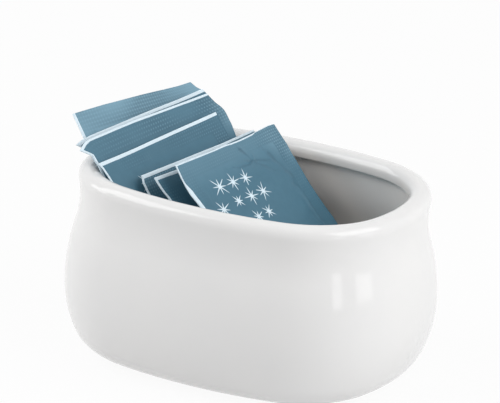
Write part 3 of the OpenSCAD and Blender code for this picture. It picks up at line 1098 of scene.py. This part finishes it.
@dataclass
class Row:
    """The packets as they lean back against each other in the holder.

    lean is the angle from upright, and turn the row's angle to the holder's length, in degrees.
    """

    holder: Holder
    lean: float = 42.5
    turn: float = 11.5
    gap: float = 0.4
    start: float = 5.3

    @property
    def first(self) -> float:
        """Where the first packet stands, square to the row."""
        mouth_end = self.holder.rim_l / 2 - self.holder.rim_t
        return self.start - mouth_end * np.cos(np.radians(self.lean)) * np.cos(np.radians(self.turn))

    @property
    def slope(self) -> float:
        """Length of the slope from the mouth to the floor."""
        depth = self.holder.holder_h - self.holder.foot_h - self.holder.wall
        return depth / np.cos(np.radians(self.lean))

    def packets(self) -> list[Packet]:
        """Lists the packets from the rear to the front, each as the photo shows it.

        Returns:
            The seven packets.
        """
        # Each crease's ink is the strength of the painted shade along its foot.
        folds = (
            Crease((4.4, -3.2), (5.3, -6.8), 0.5, 1.6, ink=0.6),
            Crease((5.3, -6.8), (3.9, -7.9), 0.8, ink=0.75),
            Crease((3.9, -7.9), (-2.8, -7.2), 0.5, ink=0.6),
            Crease((5.3, -7.1), (12.4, -9.3), 0.5, ink=0.6),
            Crease((5.6, -7.8), (11.4, -11.9), 0.4, ink=0.35),
            Crease((13.1, -7.1), (15.7, -13.7), 0.45, 3.0, 0.6, ink=0.55, valley=0.5),
            Crease((15.7, -13.7), (16.8, -21.0), 0.45, 3.0, 0.6, ink=0.4, valley=0.8),
            Crease((16.8, -21.0), (17.4, -34.0), 0.45, 3.0, 0.6, ink=0.3, valley=0.9),
        )
        # A packet's paler ink all over, most on the first, is partly wear and partly painted sheen; the
        # highlight patches are painted highlights.
        return [
            Packet(1, 0, 0.388, 0.027, 6, -1.5, top_band=((0, 0),), left_band=0.8, even_wear_and_sheen=0.7,
                   pressed=(20, 4),
                   top_edge=((-20, 1.15), (-12, 1.13), (-5, 0.83), (2.3, 0.54), (9.6, 0.16), (17, -0.06)),
                   left_edge=((0, 2.1), (6.5, 2.45), (18, 0)),
                   right_edge=((0, -3.1), (0.6, -2.8), (2, -1.9), (3, -0.8), (3.6, -0.3), (6, -0.2),
                               (20, 0))),
            Packet(2, 1.07, 0.482, -0.09, 9.5, 2.5, top_band=((0, 0.9),),
                   top_edge=((-22, 0.15), (-20, 0.75), (-17, 0.95), (-7, 0.84), (4.5, 0.69), (12, 0.45)),
                   left_edge=((0, 3.2), (3, 0.5), (10, 0.4), (22, 0)),
                   right_edge=((0, 0.1), (1.25, 0.5), (3, 0.8), (6, 1.5), (10, 1.5), (24, 0))),
            Packet(3, 1.93, 0.516, -0.155, 9.5, 2.5, top_band=((0, 0.6),), left_band=0.6, even_wear_and_sheen=0.06,
                   pressed=(-24, 0), highlight_patches=((22.3, -5, 2.6, 0.45), (22.3, -9, 2.6, 0.35)),
                   top_edge=((-22.2, -0.25), (-20, 1.1), (-18.4, 1.66), (-11, 1.65), (-3.7, 1.5),
                             (3.6, 1.15), (14.6, 0.64), (22, 0.3)),
                   left_edge=((0, 2.7), (2.8, -0.1), (6, -0.1), (10, 0.4), (22, 0)),
                   right_edge=((0, 0.89), (1.6, 1.36), (3.1, 1.94), (4.6, 2.82), (5.9, 3.25), (7.1, 3.23),
                               (9.1, 2.94), (10.4, 2.79), (13.6, 2.04), (24, 0))),
            Packet(4, 2.86, 0.615, -0.189, 9.5, 2.5, top_band=((-20, 1.03), (20, 0.86)), left_band=0.5,
                   pressed=(0, 10),
                   top_edge=((-22, 0.38), (-16, 0.26), (-9, 0.24), (0, 0.33), (22, 0.45)),
                   left_edge=((0, 0.35), (0.8, 0.2), (1.6, 0), (4.2, -0.27), (7, -0.35), (24, 0)),
                   right_edge=((0, -0.7), (2, -0.95), (7, -1.05), (20, -0.5), (30, 0))),
            Packet(5, 4.36, 0.746, -0.018, 9.5, 0.4, top_band=((-20, 1.08), (20, 0.55)), left_band=0.62,
                   top_edge=((-22, 0.25), (-2, 0.38), (8, 0.43), (14, 0.62), (22, 0.8)),
                   left_edge=((0, 0), (0.5, 0), (2, 0.7), (5, 0.85), (7, 0.85), (20, 0)),
                   right_edge=((0, -2.7), (1, -2.6), (3, -1.6), (8, -0.4), (20, 0))),
            Packet(6, 5.79, 0.79, -0.049, 6, -0.5, left_band=0.62,
                   top_edge=((-22, -0.3), (-14, -0.24), (0, 0)),
                   left_edge=((0, 0), (1.4, 0), (3.3, -0.22), (5.3, -0.56), (7, -1.1), (12, -1.1), (24, 0))),
            Packet(7, 7.17, 0.775, 0.002, -2, 5, left_band=0.4, fold=1.05, top_wear_and_sheen=0.22, slack=0.4,
                   pressed=(0, 9), highlight_patches=((19, -4, 4, 0.25), (22, -9, 2.5, 0.3)), creases=folds,
                   top_band=((-20, 0.48), (12, 0.42), (13.5, 0.12), (22, 0.12)),
                   top_edge=((-22, 0.5), (-14, 0.27), (-5, -0.03), (0, -0.08), (2.5, -0.35), (6.5, -0.47),
                             (11, -0.4), (17, -0.15), (20, -0.1), (22, -0.35)),
                   left_edge=((0, 0), (3.6, 0.79), (6, 1.0), (8.6, 1.05), (10, 0.85), (11.4, 0.63), (17, 0)),
                   right_edge=((0, 0.5), (3, 0.6), (7, 0.7), (10, 0.2), (20, -0.2), (31, 0.6), (45, 0))),
        ]

    def build(self) -> None:
        """Makes every packet in order."""
        paper = PrintedPaper()
        sugar = GranulatedSugar().make()
        for packet in self.packets():
            pouch = packet.build(self, paper, sugar)
            log.info("%s: %d faces", pouch.name, len(pouch.data.polygons))


@dataclass
class PhotoCamera:
    """The photo's camera: it aims at a point on the holder's axis, which lands at a known pixel."""

    azimuth: float = 27.946
    elevation: float = 19.793
    roll: float = 2.872
    focal_px: float = 4782.305
    distance: float = 1307.66
    target_h: float = 22.4
    target_px: tuple[float, float] = (250.105, 283.409)
    sensor: float = 36.0
    clip: tuple[float, float] = (50.0, 50000.0)

    def build(self) -> bpy.types.Object:
        """Makes the camera and gives it to the scene.

        The axes are rolled about the line of sight and then turned by the least rotation that takes
        that line to the target's pixel.

        Returns:
            The camera.
        """
        back = outward(self.azimuth, self.elevation)
        roll = np.radians(self.roll)
        right = np.cross(-back, [0, 0, 1])
        right /= np.linalg.norm(right)
        up = np.cross(right, -back)
        across = right * np.cos(roll) + up * np.sin(roll)
        upward = up * np.cos(roll) - right * np.sin(roll)
        rolled = np.stack([across, upward, -back], axis=1)
        middle = np.array(PHOTO_SIZE) / 2
        aim = np.array([(self.target_px[0] - middle[0]) / self.focal_px,
                        -(self.target_px[1] - middle[1]) / self.focal_px, 1.0])
        aim /= np.linalg.norm(aim)
        axis = np.cross([0, 0, 1], aim)
        least = Matrix.Rotation(np.arcsin(np.linalg.norm(axis)), 3, axis / np.linalg.norm(axis))
        axes = rolled @ np.array(least).T
        data = bpy.data.cameras.new("photo_camera")
        data.sensor_width = self.sensor
        data.lens = self.focal_px / PHOTO_SIZE[0] * self.sensor
        data.clip_start, data.clip_end = (reach * MM for reach in self.clip)
        camera = bpy.data.objects.new("photo_camera", data)
        put_at(camera, axes * [1, 1, -1], back * self.distance + [0, 0, self.target_h])
        bpy.context.scene.camera = camera
        return camera


@dataclass(frozen=True)
class Lamp:
    """A soft panel light that looks at the holder's middle."""

    name: str
    azimuth: float
    elevation: float
    distance: float
    size: tuple[float, float]
    power: float
    aim_h: float = 25.0

    def build(self) -> bpy.types.Object:
        """Makes the lamp.

        Returns:
            The lamp.
        """
        back = outward(self.azimuth, self.elevation)
        data = bpy.data.lights.new(self.name, "AREA")
        data.shape = "RECTANGLE"
        data.size, data.size_y = (side * MM for side in self.size)
        data.energy = self.power
        lamp = bpy.data.objects.new(self.name, data)
        side = np.cross([0, 0, 1], back)
        side /= np.linalg.norm(side)
        axes = np.stack([side, np.cross(back, side), back], axis=1)
        put_at(lamp, axes, back * self.distance + [0, 0, self.aim_h])
        return lamp


@dataclass
class Studio:
    """A plain pale floor under soft light, with a white ground behind."""

    floor_half: float = 3000.0
    floor_tone: str = "#E6E6E6"
    floor_white: float = 0.94
    floor_roughness: float = 0.9
    sky_strength: float = 0.39
    lamps: tuple[Lamp, ...] = (
        Lamp("right_panel", 92.0, 35.0, 1100.0, (960.0, 700.0), 6.4),
        Lamp("left_panel", -60.0, 39.0, 1100.0, (740.0, 640.0), 4.5),
        Lamp("top_panel", 0.0, 89.0, 1100.0, (800.0, 800.0), 0.9),
        Lamp("left_window", -76.0, 14.0, 1100.0, (500.0, 320.0), 1.3),
        Lamp("tall_window", 65.5, 6.0, 1100.0, (190.0, 220.0), 0.28),
        Lamp("broad_window", 95.5, 5.0, 1100.0, (350.0, 200.0), 0.36),
    )

    def seen(self, tree: bpy.types.NodeTree) -> bpy.types.NodeSocket:
        """Tells the rays that the camera sees, straight, mirrored or through glass, from those of light.

        Args:
            tree: the material's or the world's node tree.

        Returns:
            1 on the rays that are seen and 0 on the others.
        """
        rays = add_node(tree, "LightPath").outputs
        mirrored, refracted = rays["Is Glossy Ray"], rays["Is Transmission Ray"]
        bent = add_node(tree, "Math", mirrored, refracted, operation="MAXIMUM")
        return add_node(tree, "Math", rays["Is Camera Ray"], bent, operation="MAXIMUM").outputs[0]

    def floor(self) -> bpy.types.Object:
        """Makes the floor, white to the camera where nothing shades it.

        Returns:
            The floor's object.
        """
        half = self.floor_half
        corners = np.array([[-half, -half, 0], [half, -half, 0], [half, half, 0], [-half, half, 0]])
        floor = put_mesh("floor", corners, np.array([[0, 1, 2, 3]]), np.zeros((0, 3), int))
        material, tree, shader = new_material("pale_floor")
        fill(shader, {"Base Color": linear(self.floor_tone), "Roughness": self.floor_roughness})
        share = add_node(tree, "Math", self.seen(tree), self.floor_white, operation="MULTIPLY")
        white = add_node(tree, "Emission", Color=(1.0, 1.0, 1.0, 1.0), Strength=1.0)
        mixed = add_node(tree, "MixShader", share, shader, white)
        fill(tree.nodes["Material Output"], {"Surface": mixed})
        floor.data.materials.append(material)
        return floor

    def sky(self) -> None:
        """Lights the world evenly, and shows it white to the camera and in reflections."""
        world = bpy.data.worlds.new("white_studio")
        bpy.context.scene.world = world
        world.use_nodes = True
        tree = world.node_tree
        strength = add_node(tree, "MapRange", Value=self.seen(tree), To_Min=self.sky_strength, To_Max=1.0)
        back = add_node(tree, "Background", Color=(1.0, 1.0, 1.0, 1.0), Strength=strength)
        fill(tree.nodes["World Output"], {"Surface": back})

    def build(self) -> None:
        """Makes the floor, the sky and the lamps."""
        self.floor()
        self.sky()
        for lamp in self.lamps:
            lamp.build()


def main() -> None:
    """Builds the camera, the studio, the holder and its packets."""
    logging.basicConfig(level=logging.INFO, format="%(name)s: %(message)s")
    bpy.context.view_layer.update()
    bpy.context.scene.view_settings.view_transform = "Standard"
    PhotoCamera().build()
    Studio().build()
    holder = Holder()
    body = holder.build()
    log.info("%s: %d faces", body.name, len(body.data.polygons))
    Row(holder).build()


if __name__ == "__main__":
    main()
